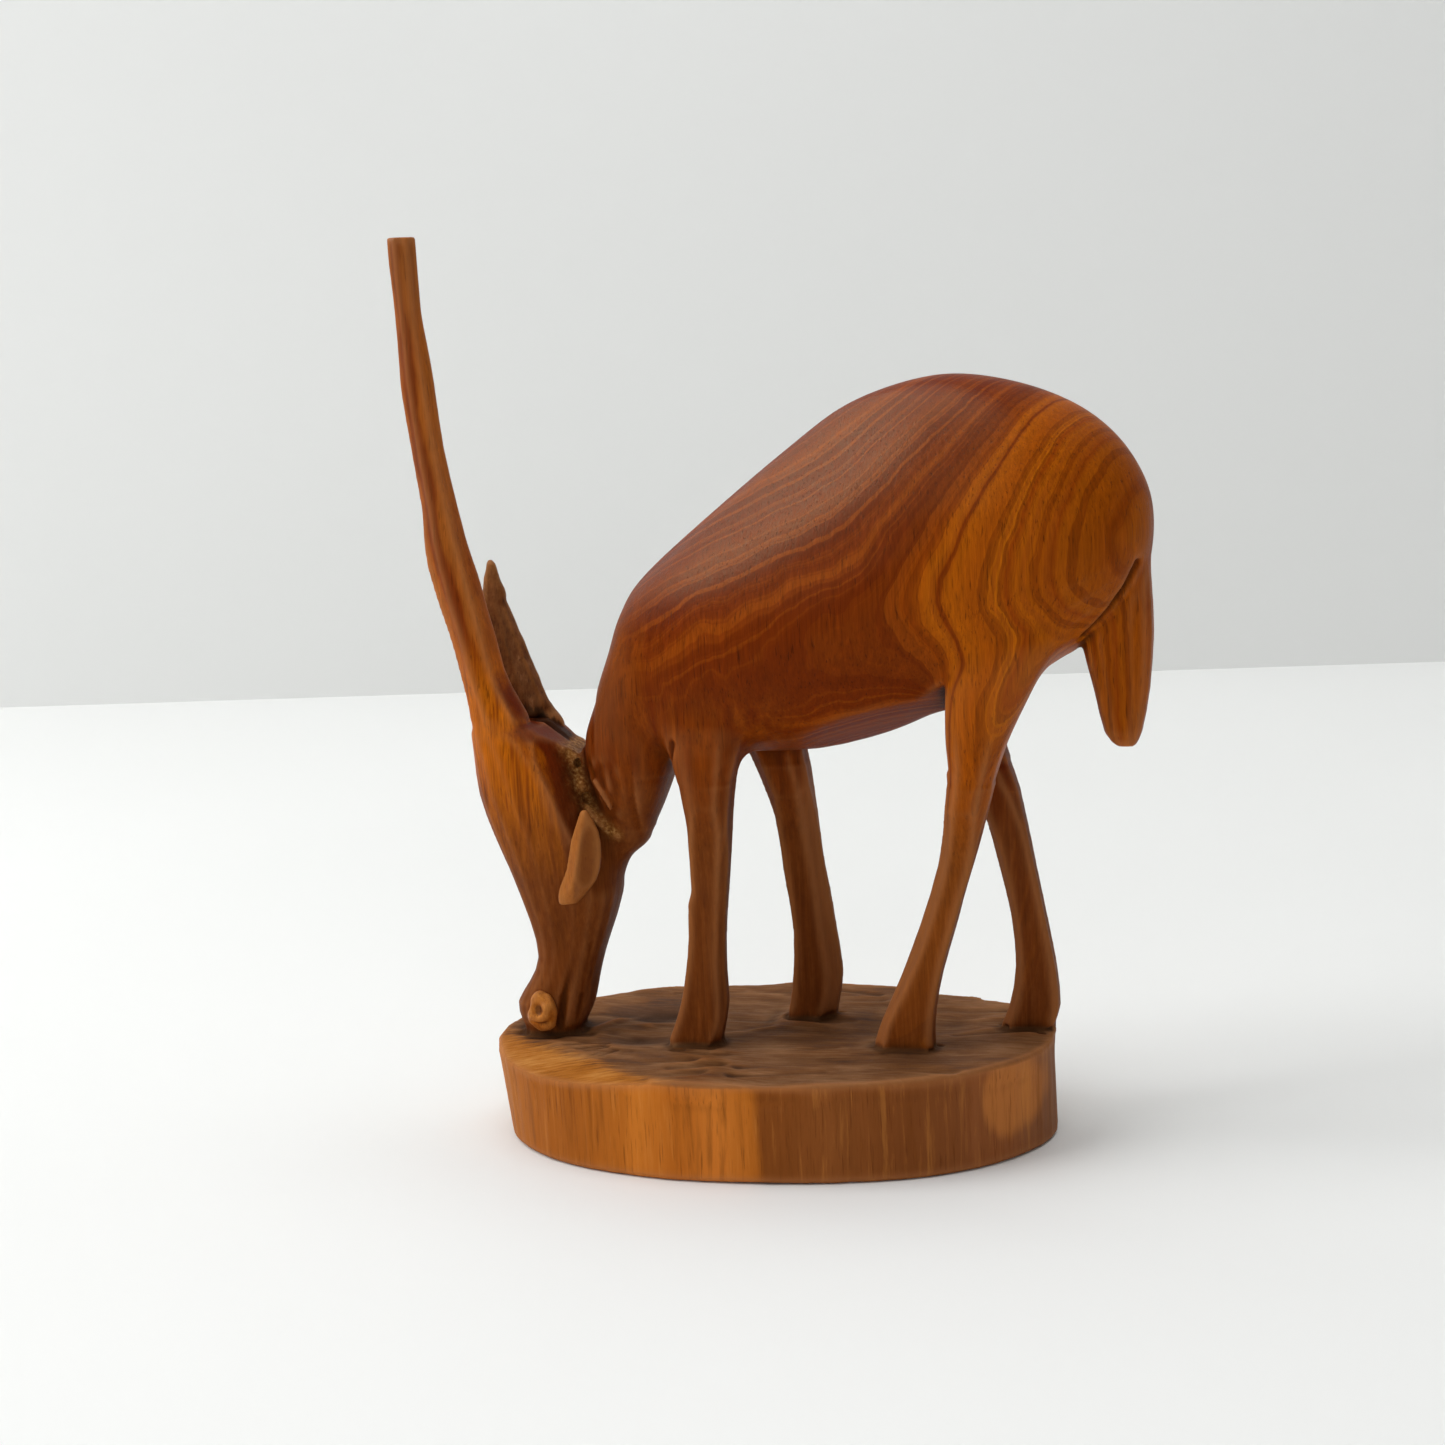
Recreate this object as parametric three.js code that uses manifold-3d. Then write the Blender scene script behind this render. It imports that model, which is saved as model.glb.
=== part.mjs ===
// A hand-carved grazing antelope on an oval plinth, all in wood.
// Millimetres, +Z up, head towards -X, rump towards +X. The origin is the middle of the
// plinth's underside. Each carved member is a closed solid of its own, and members that meet
// keep a clear joint of JOINT_GAP between them.
import * as THREE from 'three';
import { mergeVertices } from 'three/addons/utils/BufferGeometryUtils.js';
import Module from 'manifold-3d';

const wasm = await Module();
wasm.setup();

// ---- Driving dimensions ----
const JOINT_GAP = 0.3; // clear space kept between two members that meet
const PLINTH_HEIGHT = 15.5;
const PLINTH_HALF_LENGTH = 45;
const PLINTH_HALF_WIDTH = 29;
const PLINTH_TOP_EDGE = 1.3; // softening of the plinth's upper edge
const PLINTH_FOOT_EDGE = 0.6; // softening of its lower edge
const PLINTH_LEAN = 2.2; // how far the head end's lower edge is cut back
const FOOT_HEIGHT = PLINTH_HEIGHT + JOINT_GAP; // where the feet and the muzzle stand
const HORN_TIP = 142.4; // sawn end of the long horn, the highest point
const HORN_ROOT = 66; // height of the joint between the long horn and the forehead
const BODY_TAPER = 0.13; // share by which the body narrows towards the ridge of the back

// ---- Cross-sections: number of sides, squareness, turn, and cuts between two stations ----
const BODY_SECTION = { sides: 30, squareness: 2.15, perSpan: 2 };
const NECK_SECTION = { sides: 20, squareness: 2.5, perSpan: 2 };
const HEAD_SECTION = { sides: 18, squareness: 2.7, perSpan: 2 };
const LEG_SECTION = { sides: 8, squareness: 2.9, turn: Math.PI / 8, perSpan: 2 };
const HORN_SECTION = { sides: 7, squareness: 2.2, turn: -Math.PI * 0.56, perSpan: 2 };
const BLADE_SECTION = { sides: 10, squareness: 2.4, perSpan: 2 };
const TAIL_SECTION = { sides: 12, squareness: 3.2, turn: Math.PI / 12, perSpan: 2 };
const PLINTH_SECTION = { sides: 56, squareness: 2.06 };

const COLOURS = {
  reddish: { color: 0x7a3d17, roughness: 0.45, metalness: 0 },
  golden: { color: 0xa85f1c, roughness: 0.42, metalness: 0 },
  dark: { color: 0x4f2812, roughness: 0.5, metalness: 0 },
  plinth: { color: 0x8a4c1e, roughness: 0.5, metalness: 0 },
  pale: { color: 0xb8722c, roughness: 0.6, metalness: 0 },
};

// ---- Geometry helpers ----

// The outline of a cross-section that just fills a square of half width 1. A squareness of 2
// is an ellipse and more is boxier. Few sides give flat facets, turned by an angle.
function outline({ sides, squareness, turn = 0 }) {
  const power = 2 / squareness;
  const bend = (value) => Math.sign(value) * Math.abs(value) ** power;
  const corners = Array.from({ length: sides }, (_, side) => {
    const angle = turn + (side / sides) * 2 * Math.PI;
    return new THREE.Vector2(bend(Math.cos(angle)), bend(Math.sin(angle)));
  });
  const box = new THREE.Box2().setFromPoints(corners);
  const size = box.getSize(new THREE.Vector2()).divideScalar(2);
  const middle = box.getCenter(new THREE.Vector2());
  return corners.map((corner) => corner.sub(middle).divide(size));
}

// A closed skin through rings of points, with a fan of triangles over each end.
function skin(rings) {
  const sides = rings[0].length;
  const points = rings.flat();
  const faces = [];
  for (let ring = 0; ring < rings.length - 1; ring += 1) {
    for (let side = 0; side < sides; side += 1) {
      const next = (side + 1) % sides;
      const a = ring * sides + side;
      const b = ring * sides + next;
      faces.push([a, b, b + sides], [a, b + sides, a + sides]);
    }
  }
  const last = (rings.length - 1) * sides;
  for (let side = 1; side < sides - 1; side += 1) {
    faces.push([0, side + 1, side], [last, last + side, last + side + 1]);
  }
  return closedGeometry(points, faces);
}

// Faces are turned over together if they enclose a negative volume.
function closedGeometry(points, faces) {
  const cross = new THREE.Vector3();
  const volume = faces.reduce(
    (sum, [a, b, c]) => sum + points[a].dot(cross.crossVectors(points[b], points[c])),
    0,
  );
  const outward = volume < 0 ? faces.map(([a, b, c]) => [a, c, b]) : faces;
  const geometry = new THREE.BufferGeometry().setFromPoints(points);
  geometry.setIndex(outward.flat());
  return geometry;
}

// Smooth in-between rows of a table of stations, each column on its own curve.
function smoothRows(rows, perSpan) {
  const count = (rows.length - 1) * perSpan;
  const columns = rows[0].map((_, column) => {
    const knots = rows.map((row) => new THREE.Vector2(row[column], 0));
    return new THREE.SplineCurve(knots);
  });
  return Array.from({ length: count + 1 }, (_, step) =>
    columns.map((curve) => curve.getPoint(step / count).x),
  );
}

// A member standing upright. Each station is one level cut:
// [height, head-side edge, rump-side edge, middle across, half width across].
function uprightMember(stations, section, grow = 0) {
  const corners = outline(section);
  const rings = smoothRows(stations, section.perSpan).map(([height, front, rear, middle, half]) =>
    corners.map(({ x, y }) => {
      const along = (front + rear) / 2 + x * ((rear - front) / 2 + grow);
      return new THREE.Vector3(along, middle + y * (half + grow), height);
    }),
  );
  return skin(rings);
}

// A member lying along the body, fuller below its middle than above it. Each station is one
// upright cut: [distance along X, top, bottom, half width across].
function lyingMember(stations, section, grow = 0) {
  const corners = outline(section);
  const rings = smoothRows(stations, section.perSpan).map(([along, top, bottom, halfWidth]) =>
    corners.map(({ x, y }) => {
      const across = x * (1 - BODY_TAPER * y) * (halfWidth + grow);
      return new THREE.Vector3(along, across, (top + bottom) / 2 + y * ((top - bottom) / 2 + grow));
    }),
  );
  return skin(rings);
}

// ---- Boolean helpers ----

function solid(geometry) {
  const bare = geometry.clone();
  bare.deleteAttribute('normal');
  bare.deleteAttribute('uv');
  const merged = mergeVertices(bare);
  return new wasm.Manifold(
    new wasm.Mesh({
      numProp: 3,
      vertProperties: new Float32Array(merged.attributes.position.array),
      triVerts: new Uint32Array(merged.index.array),
    }),
  );
}

function geometryOf(manifold) {
  const mesh = manifold.getMesh();
  const geometry = new THREE.BufferGeometry();
  geometry.setAttribute('position', new THREE.BufferAttribute(mesh.vertProperties, mesh.numProp));
  geometry.setIndex(new THREE.BufferAttribute(mesh.triVerts, 1));
  return geometry;
}

// The first solid with every other one cut away from it.
function cutBack(geometry, ...cutters) {
  const rest = cutters.reduce((left, cutter) => left.subtract(solid(cutter)), solid(geometry));
  const pieces = rest.decompose();
  pieces.sort((one, other) => other.volume() - one.volume());
  return geometryOf(pieces[0]);
}

// ---- The carved members ----

// Oval slab with softened edges, cut back at the foot of its head end.
function plinthGeometry() {
  const levels = [
    [0, PLINTH_FOOT_EDGE],
    [PLINTH_FOOT_EDGE, 0],
    [PLINTH_HEIGHT - PLINTH_TOP_EDGE, 0],
    [PLINTH_HEIGHT, PLINTH_TOP_EDGE],
  ];
  const rings = levels.map(([height, inset]) =>
    outline(PLINTH_SECTION).map(({ x, y }) => {
      const lean = PLINTH_LEAN * Math.max(0, -x) ** 3 * (1 - height / PLINTH_HEIGHT);
      const along = x * (PLINTH_HALF_LENGTH - inset) + lean;
      return new THREE.Vector3(along, y * (PLINTH_HALF_WIDTH - inset), height);
    }),
  );
  return skin(rings);
}

// Barrel of the body: low narrow shoulders rising to a high, full rump.
const TORSO = [
  [-21.3, 81, 69, 3.5],
  [-20, 85.5, 64.5, 6.5],
  [-17, 89, 62, 9],
  [-11, 94, 61, 11.5],
  [-3, 100.5, 61.3, 13.5],
  [6, 107.5, 61.6, 15],
  [14, 113.2, 62.3, 16],
  [21, 116.6, 64.3, 16.5],
  [27, 118.3, 67, 16.7],
  [33, 118.8, 69.5, 16.5],
  [40, 117.8, 71.5, 16],
  [47, 115.6, 75, 14.7],
  [53, 112.3, 79.5, 12.5],
  [58, 107.4, 84.5, 9],
  [61, 102, 89.5, 5.3],
  [61.8, 98.5, 93, 2.5],
];

// Neck, hanging from the shoulders down to the line where the head is set on.
const NECK = [
  [45, -22.5, -18.5, 0, 4.5],
  [49, -23.8, -17.2, 0, 6],
  [53.5, -25.5, -15.5, 0, 7],
  [59, -27.3, -13.3, 0, 8],
  [64.5, -27.2, -12, 0, 8.7],
  [70, -25.3, -11, 0, 9.3],
  [76, -23.3, -10, 0, 9.5],
  [82, -21.3, -9, 0, 8],
];

// Head from the forehead down to the muzzle that stands on the plinth.
const HEAD = [
  [FOOT_HEIGHT, -39.8, -31.5, -0.5, 4.4],
  [17.5, -40.6, -30.5, -0.5, 5],
  [20.5, -41, -29.3, -0.5, 5.3],
  [24, -38.8, -28.5, -0.5, 5.5],
  [28, -37.2, -27.3, -0.5, 5.8],
  [34, -38.3, -25, -0.5, 6.5],
  [41, -40.7, -23, -0.5, 7.5],
  [48, -43, -22.5, -0.5, 8.5],
  [55, -45, -25.5, -0.5, 9],
  [61, -45.5, -29, -0.5, 9],
  [HORN_ROOT - JOINT_GAP, -45.8, -34, -0.5, 8.6],
];

// Long horn, widening from its sawn end down to the forehead.
const NEAR_HORN = [
  [HORN_ROOT, -44.6, -35.1, -5, 4.3],
  [70, -44.9, -37.4, -5, 4.2],
  [75, -46, -39.5, -5.1, 4],
  [82, -47.6, -41, -5.2, 3.8],
  [92, -50, -43.3, -5.3, 3.4],
  [101, -50.5, -45.4, -5.4, 3.1],
  [110, -51.6, -47, -5.5, 2.8],
  [120, -52.6, -48, -5.6, 2.6],
  [131, -52.8, -49.2, -5.7, 2.3],
  [HORN_TIP, -53.2, -49.5, -5.8, 2.1],
];

// Short pointed horn behind the long one.
const FAR_HORN = [
  [HORN_ROOT - 4.5, -42, -31.8, 4.6, 3],
  [HORN_ROOT, -44.5, -34, 4.8, 2.9],
  [70, -45.6, -35.8, 5, 2.7],
  [75, -46.3, -37.8, 5, 2.4],
  [80, -46.4, -39.9, 5, 2.1],
  [85, -45.8, -41.7, 5, 1.6],
  [90.5, -44.2, -43.2, 5, 0.5],
];

// Leaf of the ear on the near cheek, lying back along the line of the neck.
const NEAR_EAR = [
  [38, -31.5, -28.5, -8.4, 0.7],
  [42, -31, -25, -9.2, 1.2],
  [46, -29.6, -23.6, -9.6, 1.4],
  [50, -28.2, -23.8, -9.4, 1.2],
  [53.5, -27, -25.6, -9, 0.6],
];

// Flat tail flap hanging from the middle of the rump.
const TAIL = [
  [62, 56, 58.6, 0, 2.2],
  [64, 54.2, 59.6, 0, 2.9],
  [70.5, 52.6, 61, 0, 3.3],
  [79, 51, 61.6, 0, 3.6],
  [85, 52.5, 61.5, 0, 3.9],
  [90, 56, 61.6, 0, 3.6],
];

const NEAR_FRONT_LEG = [
  [FOOT_HEIGHT, -14.5, -6.7, -7, 3.2],
  [18.5, -13.4, -5.9, -7, 3],
  [22.5, -12.1, -5.2, -7, 2.8],
  [27, -11.2, -5.4, -7.1, 2.7],
  [33, -10.5, -5.1, -7.3, 2.7],
  [42, -10.3, -4.3, -7.8, 3],
  [51, -10.2, -3.3, -8.3, 3.4],
  [57, -10.5, -2.5, -8.4, 3.9],
  [63, -12, -1, -8.2, 4.2],
  [67, -13, 0, -8, 4],
];

const FAR_FRONT_LEG = [
  [FOOT_HEIGHT, 1.2, 8.4, 9, 3.3],
  [18.5, 1.8, 9, 9, 3.2],
  [23, 2.4, 9.7, 9, 3],
  [30, 2.7, 8.9, 8.8, 2.8],
  [40, 1.6, 7.9, 8.5, 2.9],
  [49, 0.6, 6.9, 8.2, 3.1],
  [55, -1.3, 6.2, 8, 3.5],
  [61, -3.6, 5.4, 7.8, 4],
  [67, -5, 5, 7.5, 4],
];

const NEAR_HIND_LEG = [
  [FOOT_HEIGHT, 18, 27.5, -7.5, 3.2],
  [18, 18.8, 27.4, -7.5, 3],
  [22, 20.4, 27.8, -7.6, 2.8],
  [28, 23, 29.1, -7.8, 2.7],
  [35.5, 26.2, 31.4, -8.2, 2.8],
  [45, 29.4, 34.4, -8.8, 3.1],
  [55, 31.2, 37.4, -9.3, 3.7],
  [61, 31.8, 39.2, -9.6, 4.4],
  [67, 31, 41.8, -9.8, 5],
  [73, 31, 45, -9.8, 5.2],
  [79, 32, 48.5, -9.4, 4.5],
];

const FAR_HIND_LEG = [
  [FOOT_HEIGHT, 36.4, 44.2, 5.5, 3.3],
  [19, 37.8, 45.2, 5.5, 3.1],
  [25.5, 38.7, 44.7, 5.7, 2.8],
  [33.5, 38, 43.3, 6.2, 2.8],
  [43, 36.2, 41.5, 7.2, 3.1],
  [53, 33.6, 39.4, 8.2, 3.6],
  [61, 30.5, 36.8, 9, 4.3],
  [68, 29, 38, 9.4, 4.9],
  [76, 30, 43, 9.2, 4.8],
];

// Blunt knob of the nostril on the near side of the muzzle.
function knobGeometry() {
  const knob = new THREE.SphereGeometry(1, 20, 12);
  knob.scale(2.4, 1.7, 3.4);
  knob.translate(-35.8, -6.4, 19.8);
  return knob;
}

// Slab that cuts the flat cheek plane, which runs from the root of the long horn down
// towards the ear and faces the neck.
function cheekCutter() {
  const depth = 20;
  const slab = new THREE.BoxGeometry(depth, 60, 60);
  slab.translate(depth / 2, 0, 0);
  const facing = new THREE.Vector3(0.82, -0.48, 0.31).normalize();
  const turn = new THREE.Quaternion().setFromUnitVectors(new THREE.Vector3(1, 0, 0), facing);
  slab.applyQuaternion(turn);
  slab.translate(-33.9, -8.7, 61.6);
  return slab;
}

// ---- Assembly ----

const grownTorso = lyingMember(TORSO, BODY_SECTION, JOINT_GAP);
const grownNeck = uprightMember(NECK, NECK_SECTION, JOINT_GAP);
const grownHead = uprightMember(HEAD, HEAD_SECTION, JOINT_GAP);
const head = cutBack(uprightMember(HEAD, HEAD_SECTION), grownNeck, cheekCutter());
const underTorso = (stations, section) => cutBack(uprightMember(stations, section), grownTorso);

const MEMBERS = {
  plinth: [plinthGeometry(), COLOURS.plinth],
  torso: [lyingMember(TORSO, BODY_SECTION), COLOURS.reddish],
  neck: [underTorso(NECK, NECK_SECTION), COLOURS.reddish],
  head: [head, COLOURS.reddish],
  near_horn: [uprightMember(NEAR_HORN, HORN_SECTION), COLOURS.golden],
  far_horn: [cutBack(uprightMember(FAR_HORN, BLADE_SECTION), grownHead), COLOURS.dark],
  near_ear: [cutBack(uprightMember(NEAR_EAR, BLADE_SECTION), grownHead, grownNeck), COLOURS.pale],
  muzzle_knob: [cutBack(knobGeometry(), grownHead), COLOURS.pale],
  tail: [underTorso(TAIL, TAIL_SECTION), COLOURS.golden],
  near_front_leg: [underTorso(NEAR_FRONT_LEG, LEG_SECTION), COLOURS.reddish],
  far_front_leg: [underTorso(FAR_FRONT_LEG, LEG_SECTION), COLOURS.dark],
  near_hind_leg: [underTorso(NEAR_HIND_LEG, LEG_SECTION), COLOURS.reddish],
  far_hind_leg: [underTorso(FAR_HIND_LEG, LEG_SECTION), COLOURS.dark],
};

const antelope = new THREE.Group();
for (const [name, [geometry, look]] of Object.entries(MEMBERS)) {
  const mesh = new THREE.Mesh(geometry, new THREE.MeshStandardMaterial(look));
  mesh.name = name;
  antelope.add(mesh);
}

export default antelope;
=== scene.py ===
"""A hand-carved grazing antelope on an oval plinth.

The CAD nodes are read as distance fields on one grid, flowed into each other as a carver
would leave them, and given chisel marks, cracks and hollows. The skin of that field is cut
back into the carved members, one piece for each CAD node. Everything in the grid is in
millimetres; Blender objects are in metres.
"""
import math

import bmesh
import bpy
import numpy as np
import openvdb
from mathutils import Matrix, Vector


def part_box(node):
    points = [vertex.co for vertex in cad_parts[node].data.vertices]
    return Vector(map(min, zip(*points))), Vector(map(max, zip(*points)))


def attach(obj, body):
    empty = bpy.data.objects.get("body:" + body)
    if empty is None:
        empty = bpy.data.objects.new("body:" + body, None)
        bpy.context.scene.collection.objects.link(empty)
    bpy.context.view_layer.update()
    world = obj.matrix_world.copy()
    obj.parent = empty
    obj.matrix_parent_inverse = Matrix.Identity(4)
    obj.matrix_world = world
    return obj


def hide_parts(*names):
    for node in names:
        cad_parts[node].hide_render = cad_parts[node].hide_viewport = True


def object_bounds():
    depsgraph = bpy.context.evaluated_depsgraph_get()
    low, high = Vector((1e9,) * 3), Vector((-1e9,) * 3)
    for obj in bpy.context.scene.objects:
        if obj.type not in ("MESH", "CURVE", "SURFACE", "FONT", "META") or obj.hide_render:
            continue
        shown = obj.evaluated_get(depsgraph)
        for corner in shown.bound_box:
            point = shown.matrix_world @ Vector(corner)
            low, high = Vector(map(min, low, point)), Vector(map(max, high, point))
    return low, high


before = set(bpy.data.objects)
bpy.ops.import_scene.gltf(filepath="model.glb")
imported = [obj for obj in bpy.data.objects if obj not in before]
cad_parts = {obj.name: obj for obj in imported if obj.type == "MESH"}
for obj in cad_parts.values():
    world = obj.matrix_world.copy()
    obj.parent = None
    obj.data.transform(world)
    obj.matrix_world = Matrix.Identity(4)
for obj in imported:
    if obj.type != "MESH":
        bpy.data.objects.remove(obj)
cad_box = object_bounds()

# ---- Sizes ----
MM = 0.001
STEP = 0.36  # grid step for the block, mm
FINE_STEP = 0.25  # grid step for the small set-on parts, mm
BAND = 7.0  # how far from a surface a distance is kept, mm
MARGIN = 4.0  # free grid around the model, mm


def mm_box(node):
    """Lowest and highest corner of a CAD node, in millimetres."""
    low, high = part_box(node)
    return np.array(low) / MM, np.array(high) / MM


TORSO_LOW, TORSO_HIGH = mm_box("torso")
PLINTH_TOP = mm_box("plinth")[1][2]
HORN_ROOT = mm_box("near_horn")[0][2]
TAIL_ROOT = mm_box("tail")[1][2]


# ---- Distances and how they combine ----

def smoothstep(low, high, value):
    t = np.clip((value - low) / (high - low), 0, 1)
    return t * t * (3 - 2 * t)


def union(one, other, fillet):
    """The smaller of two distances, with a fillet of about the given size where they meet."""
    share = np.clip(0.5 + 0.5 * (other - one) / fillet, 0, 1)
    return other + share * (one - other) - fillet * share * (1 - share)


def carved(solid, tool, lip=0.3):
    """What is left of a solid when a tool's distance is taken out, with a rounded lip."""
    return -union(-solid, tool, lip)


def rod(a, b, radius):
    """A rounded rod from a to b: its box and its distance; the radius may change to a second."""
    a, b = np.array(a, float), np.array(b, float)
    first, last = radius if isinstance(radius, tuple) else (radius, radius)
    along = b - a

    def distance(x, y, z):
        t = (x - a[0]) * along[0] + (y - a[1]) * along[1] + (z - a[2]) * along[2]
        t = np.clip(t / (along @ along), 0, 1)
        gap = [v - a[i] - t * along[i] for i, v in enumerate((x, y, z))]
        return np.sqrt(gap[0] ** 2 + gap[1] ** 2 + gap[2] ** 2) - (first + t * (last - first))

    pad = max(first, last)
    return np.minimum(a, b) - pad, np.maximum(a, b) + pad, distance


def ball(centre, radii):
    """An ellipsoid's box and its rough distance."""
    centre, radii = np.array(centre, float), np.array(radii, float)

    def distance(x, y, z):
        u, v, w = ((c - centre[i]) / radii[i] for i, c in enumerate((x, y, z)))
        size = np.sqrt(u * u + v * v + w * w) + 1e-6
        slope = np.sqrt((u / radii[0]) ** 2 + (v / radii[1]) ** 2 + (w / radii[2]) ** 2) + 1e-6
        return (size - 1) * size / slope

    return centre - radii, centre + radii, distance


def plane_cut(low, high, at, normal):
    """Everything on the outer side of a plane, inside a box."""
    low, high, normal = np.array(low, float), np.array(high, float), np.array(normal, float)
    normal = normal / np.linalg.norm(normal)

    def distance(x, y, z):
        beyond = (x - at[0]) * normal[0] + (y - at[1]) * normal[1] + (z - at[2]) * normal[2]
        sides = [np.maximum(low[i] - v, v - high[i]) for i, v in enumerate((x, y, z))]
        return np.maximum(np.maximum(sides[0], sides[1]), np.maximum(sides[2], -beyond))

    return low, high, distance


def chain(points, radius):
    """Rods that follow a row of points."""
    return [rod(a, b, radius) for a, b in zip(points, points[1:])]


def lumps(x, y, z, cell, seed):
    """Smooth random values, mostly between -1 and 1, with bumps about one cell wide."""
    cells = cell if isinstance(cell, tuple) else (cell, cell, cell)
    weights = []
    for values, width in zip((x, y, z), cells):
        t = values.ravel() / width
        t = t - np.floor(t.min()) + 1
        first = np.floor(t).astype(int)
        f = t - first
        rows = np.zeros((len(t), first.max() + 3))
        spline = ((1 - f) ** 3, 3 * f ** 3 - 6 * f ** 2 + 4, 3 * f + 3 * f ** 2 - 3 * f ** 3 + 1, f ** 3)
        for k, share in enumerate(spline):
            rows[np.arange(len(t)), first + k - 1] = share / 6
        weights.append(rows)
    lattice = np.random.default_rng(seed).standard_normal([w.shape[1] for w in weights])
    return 2 * np.einsum("ai,bj,ck,ijk->abc", *weights, lattice, optimize=True).astype(np.float32)


def blur(field, sigma):
    """Gaussian smoothing; sigma is in grid steps."""
    reach = max(1, int(round(2.5 * sigma)))
    weights = np.exp(-0.5 * (np.arange(-reach, reach + 1) / sigma) ** 2)
    weights = (weights / weights.sum()).astype(np.float32)
    for axis in range(3):
        padded = np.pad(field, [(reach, reach) if i == axis else (0, 0) for i in range(3)], "edge")
        count = field.shape[axis]
        field = np.zeros_like(field)
        for k, weight in enumerate(weights):
            field += weight * padded[(slice(None),) * axis + (slice(k, k + count),)]
    return field


class Block:
    """A box of space in equal steps that holds a signed distance in mm, negative inside."""

    def __init__(self, low, high, step):
        self.low, self.step = np.array(low, float), step
        self.shape = tuple(int(n) for n in np.ceil((np.array(high) - low) / step) + 1)
        self.axes = [self.low[i] + step * np.arange(self.shape[i]) for i in range(3)]
        self.field = np.full(self.shape, BAND, np.float32)

    def window(self, low, high):
        """The part of the grid that holds a box: its slices and its open coordinates."""
        cut = []
        for i in range(3):
            first = max(0, int((low[i] - self.low[i]) / self.step))
            last = min(self.shape[i], int((high[i] - self.low[i]) / self.step) + 2)
            cut.append(slice(first, last))
        x, y, z = (self.axes[i][cut[i]] for i in range(3))
        return tuple(cut), x[:, None, None], y[None, :, None], z[None, None, :]

    def node(self, name):
        """Signed distance to a CAD node, with its window and open coordinates."""
        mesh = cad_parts[name].data
        mesh.calc_loop_triangles()
        points = np.empty(len(mesh.vertices) * 3, np.float32)
        mesh.vertices.foreach_get("co", points)
        points = (points.reshape(-1, 3) / MM - self.low) / self.step
        corners = np.empty(len(mesh.loop_triangles) * 3, np.int32)
        mesh.loop_triangles.foreach_get("vertices", corners)
        grid = openvdb.FloatGrid.createLevelSetFromPolygons(
            points.astype(np.float32), triangles=corners.reshape(-1, 3).astype(np.uint32),
            halfWidth=BAND / self.step)
        low, high = mm_box(name)
        cut, x, y, z = self.window(low - BAND, high + BAND)
        part = np.empty([c.stop - c.start for c in cut], np.float32)
        grid.copyToArray(part, ijk=tuple(c.start for c in cut))
        return cut, part * self.step, (x, y, z)

    def add(self, shapes, fillet):
        for low, high, distance in shapes:
            cut, x, y, z = self.window(low - 3, high + 3)
            self.field[cut] = union(self.field[cut], distance(x, y, z), fillet)

    def carve(self, shapes, lip=0.3):
        for low, high, distance in shapes:
            cut, x, y, z = self.window(low - 3, high + 3)
            self.field[cut] = carved(self.field[cut], distance(x, y, z), lip)

    def swell(self, low, high, amount):
        """Moves the surface outwards by amount(x, y, z) inside a box."""
        cut, x, y, z = self.window(low, high)
        self.field[cut] -= amount(x, y, z)

    def sample(self, values, points):
        """Values at free points, from the eight grid points around each."""
        at = np.clip((points - self.low) / self.step, 0, np.array(self.shape) - 1.001)
        first = at.astype(int)
        f = at - first
        total = 0
        for corner in range(8):
            step = np.array([corner & 1, corner >> 1 & 1, corner >> 2 & 1])
            share = np.where(step, f, 1 - f).prod(1)
            total = total + share * values[tuple((first + step).T)]
        return total

    def skin(self):
        """Points and four-cornered faces of the surface."""
        grid = openvdb.FloatGrid(float(BAND))
        grid.copyFromArray(np.clip(self.field, -3 * self.step, 3 * self.step))
        points, _, quads = grid.convertToPolygons(isovalue=0.0, adaptivity=0.0)
        return points * self.step + self.low, quads

    def bend(self, points, width):
        """How convex the surface is at each point, in mm, seen over the given width."""
        return self.sample(blur(self.field, width / self.step) - self.field, points)

    def shelter(self, points, width):
        """How much more than half of the space around each point is wood."""
        wood = np.clip(0.5 - self.field / self.step, 0, 1)
        return self.sample(blur(wood, width / self.step), points) - 0.5


# ---- The carving ----

FILLETS = {  # fillet where each member joins what is already there, mm
    "torso": 1.0,
    "neck": 2.0,
    "head": 3.0,
    "near_horn": 0.3,
    "tail": 0.8,
    "near_front_leg": 3.0,
    "far_front_leg": 3.0,
    "near_hind_leg": 3.5,
    "far_hind_leg": 3.5,
}
SEAM = [(-31, 67), (-30.2, 62.2), (-29.2, 60.1), (-28.5, 57.0), (-27.6, 54.4), (-26.2, 51.6), (-22.7, 48.5)]
LIFTED = [(-25.1, -6.6, 57.6), (-23.8, -7.0, 55.8), (-22.6, -7.1, 53.2)]


def seam_distance(x, z):
    """Distance from the filler line between head and neck, seen from the side."""
    best = 1e3
    for a, b in zip(SEAM, SEAM[1:]):
        along = (b[0] - a[0], b[1] - a[1])
        t = ((x - a[0]) * along[0] + (z - a[1]) * along[1]) / (along[0] ** 2 + along[1] ** 2)
        t = np.clip(t, 0, 1)
        best = np.minimum(best, np.hypot(x - a[0] - t * along[0], z - a[1] - t * along[1]))
    return best


def mound(x, y, centre, radii, turn=0.0):
    """One at the centre, fading to nothing at about the radii."""
    c, s = math.cos(turn), math.sin(turn)
    u = (c * (x - centre[0]) + s * (y - centre[1])) / radii[0]
    v = (c * (y - centre[1]) - s * (x - centre[0])) / radii[1]
    return np.exp(-2 * (u * u + v * v))


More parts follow.
